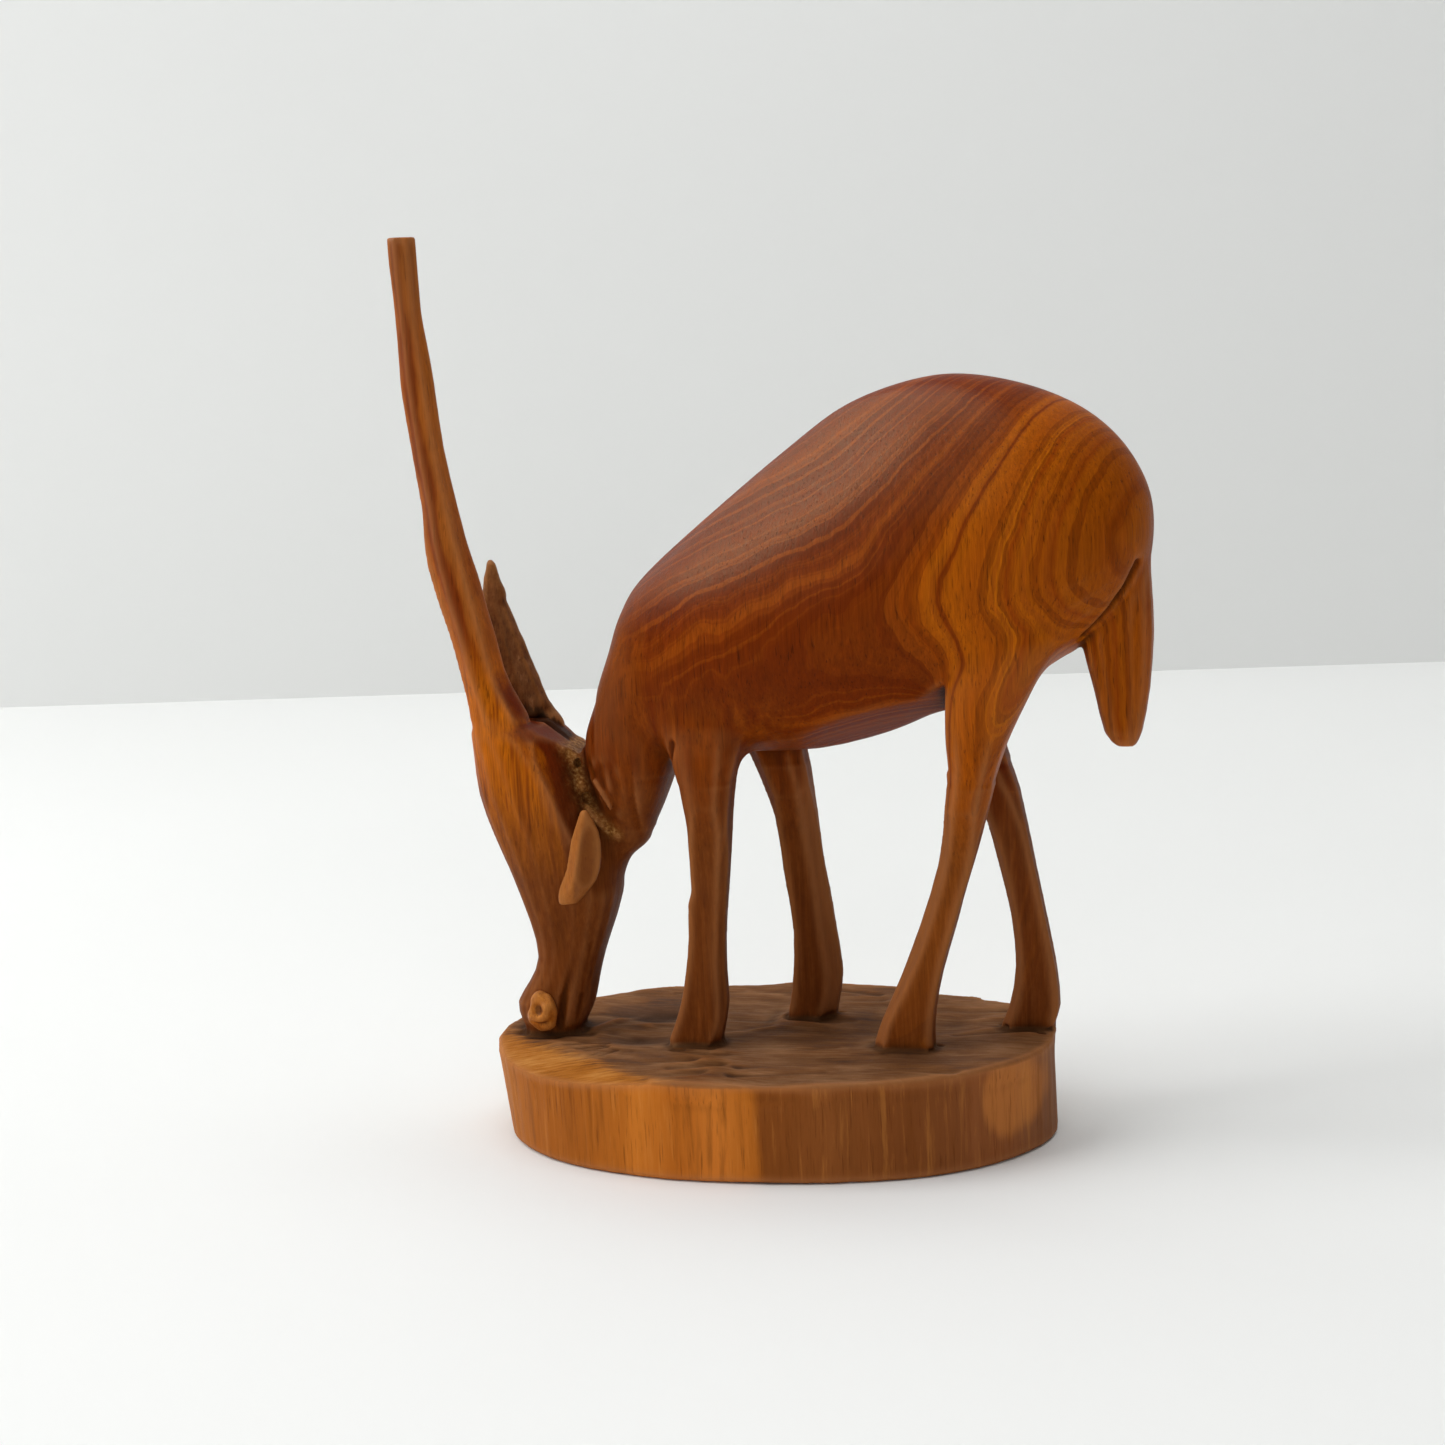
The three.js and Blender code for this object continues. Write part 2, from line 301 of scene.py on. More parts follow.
def ground_relief(x, y):
    """How far the chiselled top of the plinth rises above its plane."""
    rise = -1.1 * mound(x, y, (-21, 9.5), (9, 7))
    rise -= 1.0 * mound(x, y, (-20.5, -5.5), (7, 4.5), 0.1)
    rise += 0.5 * mound(x, y, (-20, 1.6), (6, 1.3), 0.1)
    rise += 0.5 * mound(x, y, (-27, 2.5), (1.1, 8), -0.45)
    rise += 0.9 * smoothstep(-2.2, 0.6, x) * mound(x, y, (3, 8.5), (10, 8))
    rise += 0.5 * mound(x, y, (-4, 0.5), (7, 1.2), 0.35)
    rise += 0.5 * mound(x, y, (23.5, -8), (8, 5.5))
    rise -= 0.5 * mound(x, y, (11, -14), (12, 4))
    rise -= 0.5 * mound(x, y, (29, 6), (6, 8))
    rise += 0.5 * mound(x, y, (41, 3), (5, 6))
    return rise


def chiselled_plinth(block):
    """The plinth with its hollows, gouge strokes and the wide bevel at the muzzle end."""
    cut, part, (x, y, z) = block.node("plinth")
    level = int(np.argmin(np.abs(z - (PLINTH_TOP - 4.5))))
    below = level - int(4 / block.step)
    slope = part[:, :, level:level + 1] - part[:, :, below:below + 1]
    slope = slope / (z.ravel()[level] - z.ravel()[below])
    wall = part[:, :, level:level + 1] + slope * (z - z.ravel()[level])
    rim = np.maximum(wall, z - PLINTH_TOP)
    crisp = smoothstep(-36, -24, x) * (z > z.ravel()[level])
    part = part + crisp * (rim - part)
    face = smoothstep(PLINTH_TOP - 4, PLINTH_TOP - 1, z)
    unevenness = 0.22 * lumps(x, y, z, 7, 1) + 0.10 * lumps(x, y, z, (5, 1.6, 5), 2)
    part -= face * (ground_relief(x, y) + unevenness)
    part -= (1 - smoothstep(PLINTH_TOP - 1, PLINTH_TOP, z)) * (
        0.16 * lumps(x, y, z, (9, 9, 14), 3) + 0.03 * lumps(x, y, z, (1.6, 1.6, 9), 4))

    random = np.random.default_rng(7)
    for _ in range(46):
        at = np.array([random.uniform(-40, 40), random.uniform(-24, 24)])
        turn = random.normal(0.05, 0.22)
        half = random.uniform(3, 7)
        ends = [at - half * np.array([math.cos(turn), math.sin(turn)]),
                at + half * np.array([math.cos(turn), math.sin(turn)])]
        depth = random.uniform(0.10, 0.3)
        radius = random.uniform(2.5, 6)
        _, _, stroke = rod(*[(*end, PLINTH_TOP + radius - depth) for end in ends], radius)
        part = carved(part, stroke(x, y, z), 0.12)
    for turn in (-1.2, -0.95, -0.78, -0.5, -0.38, -0.05, 0.1, 0.3):
        way = np.array([math.sin(turn), -math.cos(turn)])
        start = np.array([-20.5, -6]) + random.uniform(4.5, 6) * way
        end = np.array([-20.5, -6]) + random.uniform(9, 12.5) * way
        radius = random.uniform(0.6, 1.3)
        rise = PLINTH_TOP + radius - random.uniform(0.3, 0.5)
        _, _, stroke = rod((*start, rise), (*end, rise), (radius, 0.6 * radius))
        part = carved(part, stroke(x, y, z), 0.15)

    bevel = -0.17 * (x + 27) - 0.22 * (y + 15.5) + 0.96 * (z - PLINTH_TOP + 0.1)
    part = np.maximum(part, np.where(x < -8, bevel - 0.2 * smoothstep(-14, -8, x) * 10, -BAND))
    slab = -0.80 * (x + 41.3) - 0.42 * (y + 11) + 0.42 * (z - 9)
    part = np.maximum(part, slab - 1.9)
    part = np.maximum(part, -z)
    return cut, part.astype(np.float32)


def carved_block():
    """Everything that is cut from one block."""
    block = Block(np.array(cad_box[0]) / MM - MARGIN, np.array(cad_box[1]) / MM + MARGIN, STEP)
    for name, fillet in FILLETS.items():
        cut, part, (_, _, z) = block.node(name)
        sole = mm_box(name)[0][2]
        if sole < PLINTH_TOP + 1:  # stands on the plinth: carried down into its hollows
            foot = int(np.argmin(np.abs(z.ravel() - sole - 0.8)))
            part[:, :, :foot] = np.maximum(part[:, :, foot:foot + 1], PLINTH_TOP - 1.5 - z[:, :, :foot])
        block.field[cut] = union(block.field[cut], part - 0.15, fillet)
    soften(block)
    shape_body(block)
    shape_head(block)
    shape_legs(block)
    cut, part = chiselled_plinth(block)
    block.field[cut] = union(block.field[cut], part, 0.5)
    chip_feet(block)
    return block


def soften(block):
    """Rounds the sanded body and neck and leaves the knife-cut members crisp."""
    cut, x, y, z = block.window((-50, -14, HORN_ROOT - 3), (-33, 14, HORN_ROOT + 3))
    joint = (1 - smoothstep(0.6, 2.0, np.abs(z - HORN_ROOT))).astype(np.float32)
    block.field[cut] += joint * (blur(block.field[cut], 0.6 / STEP) - block.field[cut])
    cut, x, y, z = block.window((-30, -15, 36), (-6, 15, 60))
    end = smoothstep(56, 50, z) * smoothstep(38, 41, z) * smoothstep(-28, -25, x) * smoothstep(-8, -11, x)
    end = (end + 0 * y).astype(np.float32)
    block.field[cut] += end * (blur(block.field[cut], 2.2 / STEP) - block.field[cut])
    cut, x, y, z = block.window(TORSO_LOW - 12, TORSO_HIGH + 3)
    part = block.field[cut]
    body = smoothstep(60, 68, z) * smoothstep(-31, -25, x) + 0 * y
    tail = smoothstep(48.5, 52.5, x) * (1 - smoothstep(TAIL_ROOT - 6, TAIL_ROOT + 3, z))
    body = (body * (1 - tail)).astype(np.float32)
    part += body * (blur(part, 1.5 / STEP) - part)
    neck = smoothstep(46, 50, z) * (1 - smoothstep(66, 72, z))
    neck = neck * smoothstep(-29, -26, x) * (1 - smoothstep(-10, -4, x)) + 0 * y
    part += neck.astype(np.float32) * (blur(part, 0.8 / STEP) - part)
    block.field[cut] = part


def shape_body(block):
    """The flat of the upper back, the tail root, the thigh and chest creases, hand wobble."""
    cut, x, y, z = block.window(np.array([-22, -20, 80]), np.array([36, 0, 122]))
    flat = -0.352 * (x - 1) - 0.774 * (y + 11.3) + 0.527 * (z - 94.2)
    flat = flat - 5 * (1 - smoothstep(-22, -10, x))
    block.field[cut] = -union(-block.field[cut], -flat.astype(np.float32), 1.6)
    block.carve(chain([(60.2, -5.2, 90), (57.0, -5.6, 85), (52.6, -5.4, 79.5), (50.8, -5.2, 76)], 0.9), 0.5)
    block.carve(chain([(60.2, 5.2, 90), (57.0, 5.6, 85), (52.6, 5.4, 79.5), (50.8, 5.2, 76)], 0.9), 0.5)
    block.carve(chain([(-11.3, -11.4, 64.2), (-11.9, -10.6, 62), (-12.6, -9.2, 59.6)], 0.8), 0.2)
    block.carve(chain([(32.6, -15.0, 74.6), (30.6, -14.4, 70.8), (29.0, -13.2, 67.6)], 0.8), 0.8)
    block.carve([plane_cut((6, -16, 60), (32, 0, 76), (18.5, -10.8, 68.4), (0.246, -0.453, -0.857))], 0.3)
    block.swell(TORSO_LOW - 3, TORSO_HIGH + 3, lambda x, y, z: 0.16 * lumps(x, y, z, 8, 11))


def shape_head(block):
    """Filler seam, broken crack at the far horn, jaw facets, knife work on horn and head."""
    low, high = np.array([-56, -14, 14]), np.array([-12, 14, 150])
    block.swell(low, high, lambda x, y, z: (
        smoothstep(-22, -27, x) * (0.13 * lumps(x, y, z, 5, 21) + 0.07 * lumps(x, y, z, (2, 2, 7), 22))))

    def filler(x, y, z):
        near = np.exp(-(seam_distance(x, z) / 0.9) ** 2)
        return near * (0.6 * lumps(x, y, z, 1.5, 23) + 0.2)
    block.swell(np.array([-34, -12, 46]), np.array([-20, 12, 66]), filler)
    block.carve(chain([(-24.3, -9.4, 58.0), (-23.0, -9.2, 55.5), (-22.0, -8.6, 53)], 0.55), 0.2)
    block.add(chain(LIFTED, 0.36), 0.3)
    block.swell(np.array([-30, -14, 50]), np.array([-20, -5, 62]), lambda x, y, z: (
        0.15 * lumps(x, y, z, (0.9, 0.9, 1.5), 24)
        * smoothstep(-30, -28, x) * smoothstep(-20, -22, x) * smoothstep(50, 52, z) * smoothstep(62, 60, z)))
    block.carve([ball((-28.9, -3.2, 59.6), (0.5, 2.5, 0.9))], 0.2)
    block.carve([plane_cut((-35.9, -14, 58), (-28.7, 14, 72), (-35.5, -5, 66.2), (0.623, 0, 0.782))], 0.3)
    block.carve(chain([(-40.3, 1.8, 71.9), (-38.2, 1.5, 68.1), (-35.6, 1.2, 66.0), (-33.0, 1.1, 64.8),
                       (-30.6, 1.0, 63.3)], 1.0), 0.2)
    block.carve([
        rod((-29.6, -7.0, 31), (-32.3, -6.2, 22), (0.3, 0.8)), rod((-32.3, -6.2, 22), (-33.4, -5.7, 17), 0.85),
        rod((-27.4, -5.4, 31), (-29.4, -4.9, 22), (0.2, 0.7)), rod((-29.4, -4.9, 22), (-30.6, -4.6, 17), 0.8),
    ], 0.2)


BEVELS = {  # which near edge of a leg is bevelled (-1 left, 1 right), and how wide in mm
    "near_front_leg": (1, 0.8), "far_front_leg": (1, 1.7),
    "near_hind_leg": (-1, 1.4), "far_hind_leg": (-1, 0.8)}


def shape_legs(block):
    """Flat near and far faces, one bevelled near edge, and uneven knife facets."""
    for name, (side, width) in BEVELS.items():
        cut, part, (x, y, z) = block.node(name)
        inside = part < 0
        level = z.ravel()
        rows = inside.any(axis=(0, 1)) & (level > PLINTH_TOP - 1)

        def edge(across, last):
            """A smooth line up the leg through its first or last point in x or y."""
            shadow = inside.any(axis=1 - across)
            values = (x, y)[across].ravel()
            if last:
                shadow, values = shadow[::-1], values[::-1]
            found = values[np.argmax(shadow, axis=0)]
            line = np.polynomial.Polynomial.fit(level[rows], found[rows], 6)
            return line(level)[None, None, :]

        near, far = edge(1, False) + 0.7, edge(1, True) - 0.7
        corner = edge(0, side > 0) - side * width
        bevel = 0.75 * side * (x - corner) - 0.66 * (y - near)
        faces = np.maximum(np.maximum(near - y, y - far), bevel)
        faces = faces - 1.5 * smoothstep(44, 60, z) - 5 * smoothstep(56, 64, z)
        whole = np.maximum(block.field[cut], faces)
        block.field[cut] = np.where(part < 1.5, whole, block.field[cut])
    block.swell(np.array([-18, -18, 14]), np.array([52, 18, 66]), lambda x, y, z: (
        (1 - smoothstep(56, 64, z)) * (0.14 * lumps(x, y, z, (3.5, 3.5, 9), 31)
                                       + 0.06 * lumps(x, y, z, (1.5, 1.5, 6), 32))))


def chip_feet(block):
    """Knife nicks where the feet and the muzzle stand on the plinth."""
    random = np.random.default_rng(3)
    feet = {"near_front_leg": 5, "far_front_leg": 4, "near_hind_leg": 6, "far_hind_leg": 12, "head": 6}
    for name, count in feet.items():
        low = mm_box(name)[0]
        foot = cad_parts[name].data.vertices
        ring = np.array([v.co / MM for v in foot if v.co.z / MM < low[2] + 0.2])
        centre = ring.mean(0)
        for _ in range(count):
            at = ring[random.integers(len(ring))]
            at = centre + (at - centre) * random.uniform(1.0, 1.12)
            size = random.uniform(0.35, 0.8)
            block.carve([ball((at[0], at[1], PLINTH_TOP + random.uniform(-0.3, 0.5)),
                              (size * random.uniform(1, 2.5), size, size * 0.7))], 0.1)


# ---- Cutting the skin back into members ----

def build_mesh(name, points, faces):
    mesh = bpy.data.meshes.new(name)
    mesh.from_pydata((np.asarray(points, float) * MM).tolist(), [], np.asarray(faces).tolist())
    mesh.update()
    return mesh


def link(name, mesh):
    obj = bpy.data.objects.new(name, mesh)
    bpy.context.scene.collection.objects.link(obj)
    return obj


def flow_of(mesh):
    """The smooth normals of a mesh, which are also kept on it as an attribute."""
    values = np.empty(len(mesh.vertices) * 3, np.float32)
    mesh.vertex_normals.foreach_get("vector", values)
    mesh.attributes.new("flow", "FLOAT_VECTOR", "POINT").data.foreach_set("vector", values)
    return values.reshape(-1, 3)


def set_masks(mesh, masks):
    for name, values in masks.items():
        layer = mesh.attributes.new(name, "FLOAT", "POINT")
        layer.data.foreach_set("value", np.asarray(values, np.float32))


def use_flow_normals(mesh):
    """Shades a mesh with the normals of the uncut skin, so that a joint does not show."""
    values = np.empty(len(mesh.vertices) * 3, np.float32)
    mesh.attributes["flow"].data.foreach_get("vector", values)
    mesh.attributes.remove(mesh.attributes["flow"])
    mesh.shade_smooth()
    mesh.normals_split_custom_set_from_vertices(values.reshape(-1, 3).tolist())


def cut_skin(bm, at, normal, centre=None, reach=None):
    """Cuts along a plane, over the whole skin or near one spot, and marks the cut edges."""
    if centre is None:
        faces = bm.faces[:]
    else:
        spot = Vector(centre) * MM
        faces = [f for f in bm.faces if (f.calc_center_median() - spot).length < reach * MM]
    geometry = set(faces)
    for face in faces:
        geometry.update(face.edges)
        geometry.update(face.verts)
    found = bmesh.ops.bisect_plane(
        bm, geom=list(geometry), dist=1e-9, plane_co=Vector(at) * MM, plane_no=Vector(normal))
    marks = bm.edges.layers.int["joint"]
    for item in found["geom_cut"]:
        if isinstance(item, bmesh.types.BMEdge):
            item[marks] = 1


def members(block, masks_of):
    """Cuts the block's skin into one closed object for each member."""
    points, quads = block.skin()
    mesh = build_mesh("skin", points, quads)
    set_masks(mesh, masks_of(block, points, flow_of(mesh)))
    bm = bmesh.new()
    bm.from_mesh(mesh)
    bm.edges.layers.int.new("joint")
    up = (0, 0, 1)
    cut_skin(bm, (0, 0, PLINTH_TOP + 1.9), up)
    cut_skin(bm, (0, 0, HORN_ROOT), up, (-40, -5, HORN_ROOT), 9)
    cut_skin(bm, (0, 0, 58.5), up, (-6.5, -8.4, 58.5), 8.5)
    cut_skin(bm, (0, 0, 58.5), up, (2, 8, 58.5), 8.5)
    cut_skin(bm, (0, 0, 64), up, (35.5, -9.6, 64), 9)
    cut_skin(bm, (0, 0, 64), up, (33.5, 9.2, 64), 9)
    cut_skin(bm, (0, 0, 76), up, (56.4, 0, 76), 8)
    cut_skin(bm, (-30.2, 0, 62.2), (0.936, 0, 0.350), (-27.5, 0, 56), 18)
    cut_skin(bm, (-24, 0, 77), (0.82, 0, 0.572), (-18, 0, 69), 16)
    marks = bm.edges.layers.int["joint"]
    bmesh.ops.split_edges(bm, edges=[e for e in bm.edges if e[marks]])
    bm.to_mesh(mesh)
    bm.free()
    whole = link("skin", mesh)
    bpy.ops.object.select_all(action="DESELECT")
    whole.select_set(True)
    bpy.context.view_layer.objects.active = whole
    bpy.ops.mesh.separate(type="LOOSE")
    return name_members(list(bpy.context.selected_objects))


def name_members(parts):
    """Gives each part the name of the CAD node whose box fits it best; crumbs join the nearest."""
    named = {}
    for node in [*FILLETS, "plinth"]:
        low, high = mm_box(node)
        gaps = []
        for part in parts:
            corners = np.array(part.bound_box) / MM
            gaps.append(np.abs(corners.min(0) - low).sum() + np.abs(corners.max(0) - high).sum())
        part = parts[int(np.argmin(gaps))]
        part.name = part.data.name = node
        named[node] = part
    for crumb in set(parts) - set(named.values()):
        at = vertex_array(crumb)[0]
        nearest = min(named.values(), key=lambda part: ((vertex_array(part) - at) ** 2).sum(1).min())
        bpy.ops.object.select_all(action="DESELECT")
        crumb.select_set(True)
        nearest.select_set(True)
        bpy.context.view_layer.objects.active = nearest
        bpy.ops.object.join()
    for part in named.values():
        close_cuts(part.data)
        use_flow_normals(part.data)
    return named


def vertex_array(part):
    points = np.empty(len(part.data.vertices) * 3, np.float32)
    part.data.vertices.foreach_get("co", points)
    return points.reshape(-1, 3)


def close_cuts(mesh):
    """Heals crumb edges, then caps what is still open."""
    bm = bmesh.new()
    bm.from_mesh(mesh)
    bmesh.ops.remove_doubles(bm, verts=[v for v in bm.verts if v.is_boundary], dist=1e-7)
    bmesh.ops.holes_fill(bm, edges=[e for e in bm.edges if e.is_boundary], sides=0)
    bmesh.ops.recalc_face_normals(bm, faces=bm.faces)
    bm.to_mesh(mesh)
    bm.free()


# ---- Masks that tell the wood where it is, and where shade and highlights are painted ----

def cheek_line(z):
    """Where the pale near face of head and horn turns into the dark cheek."""
    heights = [40, 50, 56.6, 61.4, 65.7, 71, 80]
    return np.interp(z, heights, [-29.5, -30.3, -31.3, -32.6, -35.2, -38.5, -39.5])


def block_masks(block, points, normals):
    x, y, z = points.T
    top = smoothstep(0.62, 0.86, normals[:, 2]) * (z < PLINTH_TOP + 2) * (z > 4)
    top = np.maximum(top, smoothstep(PLINTH_TOP - 0.5, PLINTH_TOP, z))
    on_animal = smoothstep(PLINTH_TOP + 0.2, PLINTH_TOP + 0.9, z)
    shelter = block.shelter(points, 2.2)
    bend = block.bend(points, 0.7)
    head = (x < -21) & (z > PLINTH_TOP)
    line = cheek_line(z)
    pale = smoothstep(line + 0.3, line - 0.3, x) * smoothstep(40, 46, z) * (y < 6)
    filler = np.exp(-(seam_distance(x, z) / 1.0) ** 2) * (z > 47) * (z < 66) * (x > -33)
    legs = (z > PLINTH_TOP) * (1 - smoothstep(48, 62, z)) * (x > -16)
    # Painted highlight, with dust: leg faces that turn one way are painted lighter, left-facing ones on the
    # hind legs and right-facing ones on the far front leg.
    lit_dusty_bevel = legs * np.where(x > 15, smoothstep(-0.35, -0.6, normals[:, 0]),
                                 smoothstep(0.45, 0.7, normals[:, 0]) * (y > 0))
    # Painted shade: darker where much of the space around is wood and in concave creases, less so low down.
    grime = 0.5 * np.clip(shelter * 3, 0, 1) * (0.4 + 0.6 * smoothstep(20, 40, z))
    grime = grime + np.clip(-bend * 7, 0, 0.8)
    # Painted shade in the crack behind the lip of the head, where the far horn sinks in.
    lip = np.interp(x, [-37.5, -36.8, -35.3, -33.9, -32.6, -30.9], [66.3, 65.4, 64.1, 63.0, 61.9, 60.7])
    behind = smoothstep(0.2, 0.7, y) * smoothstep(5.0, 3.5, y) * smoothstep(-0.7, -0.2, z - lip)
    gap = behind * (x > -40) * smoothstep(-30.8, -31.5, x) * (z < 70)
    return {
        "ground": top * (1 - on_animal),
        "side": (1 - top) * (1 - on_animal),
        "polish": smoothstep(0.80, 0.95, normals @ np.array([-0.352, -0.774, 0.527])) * smoothstep(80, 92, z),
        "pale": np.where(head | (z > HORN_ROOT) & (x < -33), pale * smoothstep(0.5, 0.2, normals[:, 2]), 0),
        "dust": 1 - smoothstep(44, 64, z) * (1 - 0.5 * smoothstep(126, 142, z) * (x < -30)),
        "grime": np.maximum(np.clip(grime, 0, 1) * (1 - 0.75 * filler), 1.25 * gap),
        # Convex edges painted lighter, as wear and as a painted edge highlight, plus the painted leg
        # highlight.
        "worn": np.clip(bend * 9 - 0.15 + 1.3 * lit_dusty_bevel, 0, 1.6),
        "filler": filler,
    }


# ---- Wood ----

def srgb(*levels):
    """Linear colour from everyday 0-255 levels."""
    return tuple(((v / 255 + 0.055) / 1.055) ** 2.4 if v > 10 else v / 255 / 12.92 for v in levels)


def tone(*levels):
    """Colour of wood that looks like these everyday levels in the soft light of the studio."""
    return tuple(min(v / 0.72, 1.0) for v in srgb(*levels))


class Nodes:
    """Short ways to write a material's node tree."""

    def __init__(self, name):
        self.material = bpy.data.materials.new(name)
        self.material.use_nodes = True
        self.tree = self.material.node_tree
        self.shader = self.tree.nodes["Principled BSDF"]
        place = self.tree.nodes.new("ShaderNodeTexCoord").outputs["Object"]
        self.at = self.scaled(place, (1 / MM, 1 / MM, 1 / MM))
        split = self.tree.nodes.new("ShaderNodeSeparateXYZ")
        self.tree.links.new(self.at, split.inputs[0])
        self.x, self.y, self.z = split.outputs

    def put(self, socket, value):
        if isinstance(value, bpy.types.NodeSocket):
            self.tree.links.new(value, socket)
        elif isinstance(value, tuple) and len(value) == 3 and socket.type == "RGBA":
            socket.default_value = (*value, 1)
        else:
            socket.default_value = value

    def math(self, operation, *values, clamp=False):
        node = self.tree.nodes.new("ShaderNodeMath")
        node.operation, node.use_clamp = operation, clamp
        for socket, value in zip(node.inputs, values):
            self.put(socket, value)
        return node.outputs[0]

    def scaled(self, vector, factors):
        node = self.tree.nodes.new("ShaderNodeVectorMath")
        node.operation = "MULTIPLY"
        self.put(node.inputs[0], vector)
        node.inputs[1].default_value = factors
        return node.outputs[0]

    def noise(self, factors, detail=2.0, roughness=0.5, distortion=0.0):
        """Noise over the part, with this many cells in each millimetre along x, y and z."""
        node = self.tree.nodes.new("ShaderNodeTexNoise")
        self.put(node.inputs["Vector"], self.scaled(self.at, factors))
        node.inputs["Scale"].default_value = 1.0
        node.inputs["Detail"].default_value = detail
        node.inputs["Roughness"].default_value = roughness
        node.inputs["Distortion"].default_value = distortion
        return node.outputs["Fac"]

    def noise_along(self, value, scale, detail=2.0):
        node = self.tree.nodes.new("ShaderNodeTexNoise")
        node.noise_dimensions = "1D"
        self.put(node.inputs["W"], value)
        node.inputs["Scale"].default_value = scale
        node.inputs["Detail"].default_value = detail
        return node.outputs["Fac"]

    def span(self, value, low, high, start=0.0, end=1.0, soft=True):
        """Maps low..high to start..end, held at both ends."""
        node = self.tree.nodes.new("ShaderNodeMapRange")
        node.interpolation_type = "SMOOTHSTEP" if soft else "LINEAR"
        for socket, item in zip(node.inputs, (value, low, high, start, end)):
            self.put(socket, item)
        return node.outputs[0]

    def ramp(self, value, stops):
        """Colours at given values, mixed in between."""
        low, high = stops[0][0], stops[-1][0]
        node = self.tree.nodes.new("ShaderNodeValToRGB")
        self.put(node.inputs[0], self.span(value, low, high, soft=False))
        elements = node.color_ramp.elements
        while len(elements) < len(stops):
            elements.new(1.0)
        for element, (at, colour) in zip(elements, stops):
            element.position = (at - low) / (high - low)
            element.color = (*colour, 1)
        return node.outputs[0]

    def mix(self, share, one, other, blend="MIX"):
        node = self.tree.nodes.new("ShaderNodeMix")
        node.data_type, node.blend_type = "RGBA", blend
        self.put(node.inputs[0], share)
        self.put(node.inputs[6], one)
        self.put(node.inputs[7], other)
        return node.outputs[2]

    def grey(self, value):
        node = self.tree.nodes.new("ShaderNodeCombineColor")
        for socket in node.inputs:
            self.put(socket, value)
        return node.outputs[0]

    def mask(self, name):
        node = self.tree.nodes.new("ShaderNodeAttribute")
        node.attribute_name = name
        return node.outputs["Fac"]

    def finish(self, colour, roughness, height, depth, sheen):
        bump = self.tree.nodes.new("ShaderNodeBump")
        bump.inputs["Distance"].default_value = depth * MM
        bump.inputs["Strength"].default_value = 1.0
        self.put(bump.inputs["Height"], height)
        self.put(self.shader.inputs["Normal"], bump.outputs[0])
        self.put(self.shader.inputs["Base Color"], colour)
        self.put(self.shader.inputs["Roughness"], roughness)
        self.put(self.shader.inputs["Specular IOR Level"], sheen)
        self.put(self.shader.inputs["Specular Tint"], (1.0, 0.74, 0.42))
        return self.material


RING_COLOURS = [  # colour by distance from the centre of the rings, mm
    (18.0, tone(92, 30, 4)), (22.0, tone(112, 46, 6)), (22.8, tone(90, 28, 3)),
    (27.0, tone(94, 29, 3)), (29.2, tone(112, 46, 6)), (29.8, tone(88, 25, 2)),
    (32.5, tone(98, 34, 3)), (34.0, tone(112, 46, 5)), (34.5, tone(96, 34, 3)),
    (36.4, tone(104, 42, 4)), (36.9, tone(92, 31, 2)), (37.8, tone(140, 64, 4)),
    (38.9, tone(152, 77, 6)), (39.3, tone(122, 50, 3)), (39.8, tone(150, 74, 4)),
    (41.6, tone(140, 65, 4)), (43.1, tone(156, 80, 6)), (43.6, tone(124, 51, 3)),
    (44.2, tone(148, 73, 5)), (46.2, tone(138, 65, 4)), (46.7, tone(120, 50, 3)),
    (47.3, tone(140, 68, 5)), (50.0, tone(130, 60, 4)), (50.5, tone(114, 48, 3)),
    (51.2, tone(136, 66, 6)), (56.0, tone(122, 56, 4)), (62.0, tone(134, 66, 10)),
]
SIDE_COLOURS = [  # colour of the plinth's side along its length, mm
    (-45.0, tone(158, 99, 46)), (-34.0, tone(146, 82, 28)), (-26.0, tone(142, 78, 24)),
    (-18.0, tone(160, 90, 28)), (-15.0, tone(176, 102, 34)), (-9.0, tone(160, 88, 26)),
    (-3.0, tone(180, 104, 38)), (3.0, tone(160, 90, 28)), (5.4, tone(114, 61, 22)),
    (14.0, tone(122, 69, 31)), (24.0, tone(110, 60, 26)), (34.0, tone(116, 66, 34)),
    (37.0, tone(128, 74, 40)), (45.0, tone(118, 74, 46)),
]


